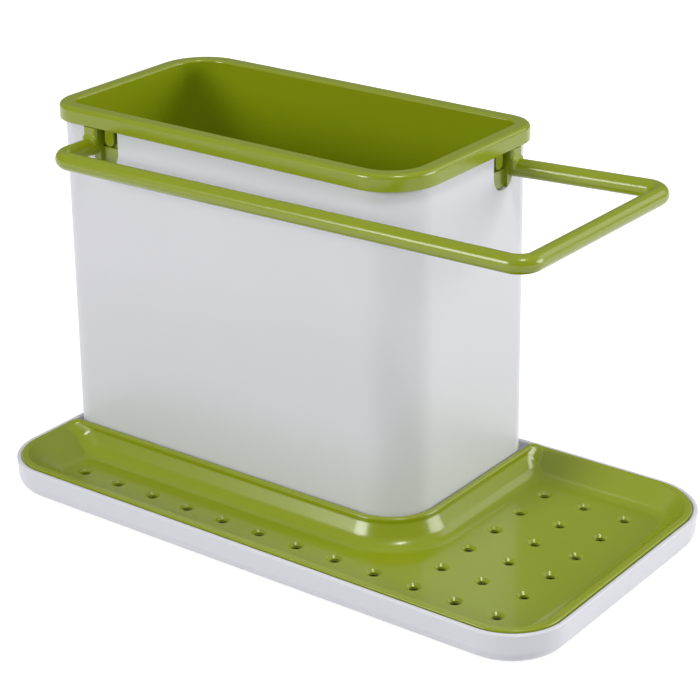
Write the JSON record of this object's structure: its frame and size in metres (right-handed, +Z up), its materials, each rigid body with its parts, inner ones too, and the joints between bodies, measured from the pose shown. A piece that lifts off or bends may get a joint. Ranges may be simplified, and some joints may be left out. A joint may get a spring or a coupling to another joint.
{
  "type": "kitchen sink caddy",
  "caption": "Sink caddy: an upright lift-out bucket in a rounded box, a dishcloth rail round two sides and a perforated sponge tray, on a pan that catches the water.",
  "frame": {"origin": "under the middle of the pan, on the worktop that the feet stand on", "axes": "+X along the pan's long side, from the container towards the open end of the sponge tray; +Y from the front strip of the tray to the back; +Z up"},
  "size_m": [0.21, 0.114, 0.126],
  "materials": {
    "white_plastic": "glossy moulded, opaque white",
    "green_plastic": "glossy moulded, olive lime green",
    "foot_rubber": "matt, soft, pale grey"
  },
  "bodies": {
    "pan": {"base_tray": "white_plastic", "foot_front_left": "foot_rubber", "foot_front_right": "foot_rubber", "foot_back_left": "foot_rubber", "foot_back_right": "foot_rubber"},
    "sponge_tray": {"drip_tray": "green_plastic"},
    "container": {"outer_shell": "white_plastic"},
    "bucket": {"liner": "green_plastic"},
    "rail": {"towel_rail": "green_plastic"}
  },
  "joints": [
    {"name": "tray_lift", "type": "slide", "parent": "pan", "child": "sponge_tray", "axis": [0, 0, 1], "range_m": [0, 0.08]},
    {"name": "container_lift", "type": "slide", "parent": "pan", "child": "container", "axis": [0, 0, 1], "range_m": [0, 0.06]},
    {"name": "bucket_lift", "type": "slide", "parent": "container", "child": "bucket", "axis": [0, 0, 1], "range_m": [0, 0.12]},
    {"name": "rail_lift", "type": "slide", "parent": "container", "child": "rail", "axis": [0, 0, 1], "range_m": [0, 0.06]}
  ],
  "couplings": [
    {"joint": "rail_lift", "follows": "bucket_lift", "ratio": 0.5}
  ]
}
